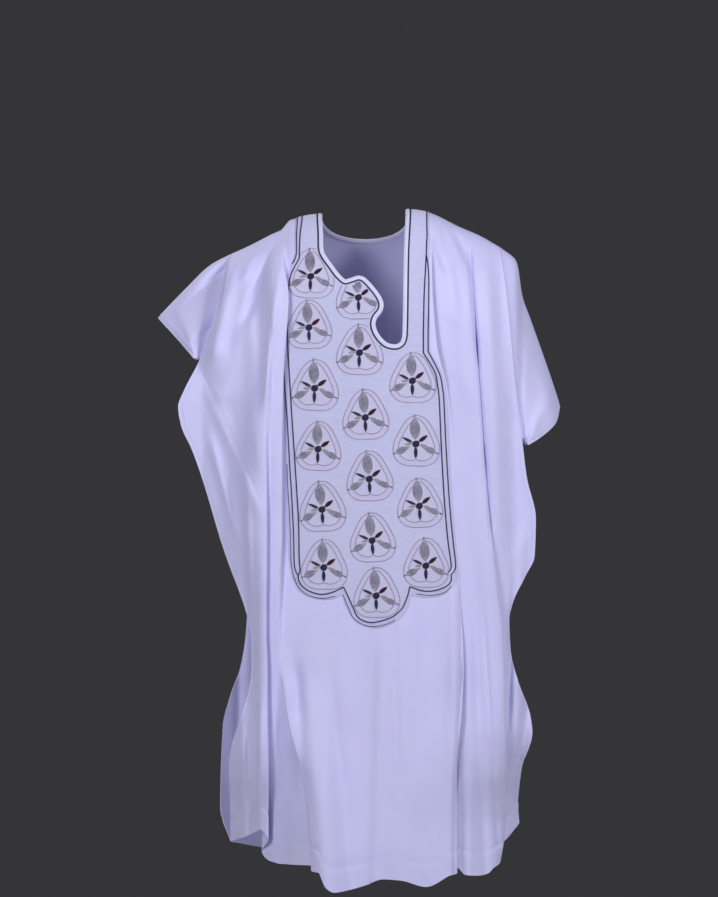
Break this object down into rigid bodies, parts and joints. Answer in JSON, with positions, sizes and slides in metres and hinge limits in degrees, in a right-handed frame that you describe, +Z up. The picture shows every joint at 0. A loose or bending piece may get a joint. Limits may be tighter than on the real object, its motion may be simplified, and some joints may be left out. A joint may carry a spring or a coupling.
{
  "type": "grand boubou robe",
  "caption": "White grand boubou (agbada) robe in its worn form: wide wings turned up on the shoulders, open keyhole neck and an embroidered chest panel.",
  "frame": {"origin": "between the shoulders at the height of the neck opening, where the wearer's shoulders hold the robe up", "axes": "+X to the wearer's left, +Y to the back, +Z up; the front faces -Y"},
  "size_m": [0.7104, 0.3714, 1.1919],
  "materials": {
    "robe_cloth": "smooth white suiting with a lilac cast and a soft sheen",
    "panel_ground": "pale blue-white ground of dense straight stitching",
    "binding": "plain white binding",
    "dark_thread": "dark navy cord and thread",
    "grey_thread": "grey satin stitch",
    "mauve_thread": "mauve outline thread and pale pink filling",
    "burgundy_thread": "burgundy and purple satin stitch"
  },
  "bodies": {
    "root": {"body_front": "robe_cloth", "wing_right_front": "robe_cloth", "wing_left_front": "robe_cloth", "body_back": "robe_cloth", "wing_right_back": "robe_cloth", "wing_left_back": "robe_cloth", "turned_sleeve_right": "robe_cloth", "turned_sleeve_left": "robe_cloth", "chest_panel": "panel_ground", "neck_binding": "binding", "neck_piping": "dark_thread"}
  },
  "joints": []
}
